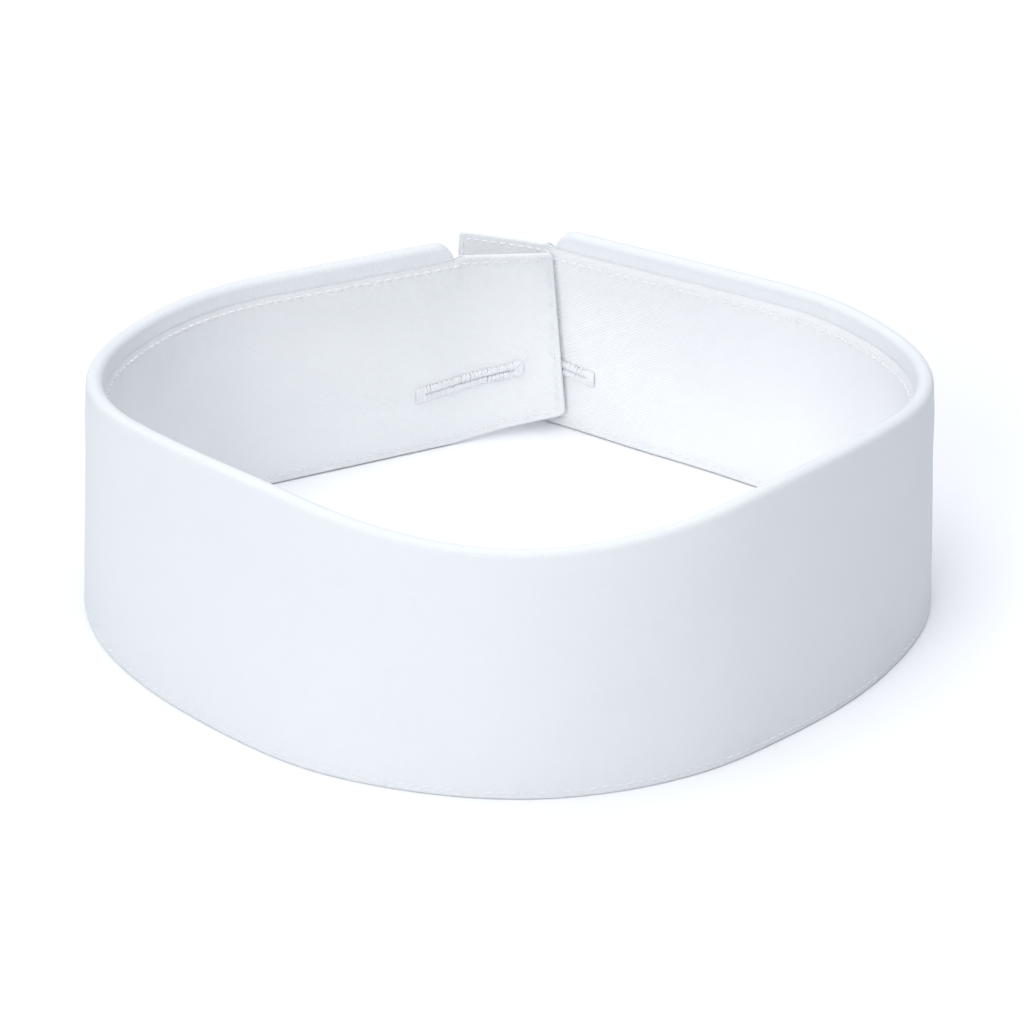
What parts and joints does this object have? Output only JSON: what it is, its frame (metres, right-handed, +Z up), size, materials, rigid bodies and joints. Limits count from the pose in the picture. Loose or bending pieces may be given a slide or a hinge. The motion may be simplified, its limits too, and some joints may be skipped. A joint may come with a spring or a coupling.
{
  "type": "detachable neckband collar",
  "caption": "Full-circle turn-down collar of stiffened white cotton: a twill stand inside a folded leaf, with lapped free ends and a stud buttonhole in each, fastening at the back.",
  "frame": {"origin": "centre of the base of the whole closed collar, on the plane it stands on", "axes": "+Z up, the front centre points to -Y, the closure is at +Y, left and right as seen from the front"},
  "size_m": [0.134, 0.1514, 0.0427],
  "materials": {
    "leaf_cloth": "smooth starched cotton, matt with a faint ironed sheen",
    "stand_twill": "starched cotton twill with a fine diagonal rib",
    "interlining": "coarse plain-woven stiffened cotton, unseen inside",
    "thread": "mercerised cotton sewing thread with a slight lustre"
  },
  "bodies": {
    "right_half": {"leaf_outer_cloth_right": "leaf_cloth", "leaf_interlining_right": "interlining", "leaf_under_cloth_right": "leaf_cloth", "stand_inner_cloth_right": "stand_twill", "stand_interlining_right": "interlining", "stand_outer_cloth_right": "stand_twill", "stand_top_seam_right": "thread", "stand_bottom_seam_right": "thread", "stand_end_seam_right": "thread", "leaf_hem_seam_right": "thread", "leaf_end_seam_right": "thread", "buttonhole_stitching_right": "thread"},
    "left_half": {"leaf_outer_cloth_left": "leaf_cloth", "leaf_interlining_left": "interlining", "leaf_under_cloth_left": "leaf_cloth", "stand_inner_cloth_left": "stand_twill", "stand_interlining_left": "interlining", "stand_outer_cloth_left": "stand_twill", "stand_top_seam_left": "thread", "stand_bottom_seam_left": "thread", "stand_end_seam_left": "thread", "leaf_hem_seam_left": "thread", "leaf_end_seam_left": "thread", "buttonhole_stitching_left": "thread"}
  },
  "joints": [
    {"name": "front_flex", "type": "hinge", "parent": "right_half", "child": "left_half", "pos_m": [-0.00003, -0.0758, 0.02], "axis": [0, 0, 1], "range_deg": [0, 50], "stiffness_Nm_per_rad": 0.03}
  ]
}
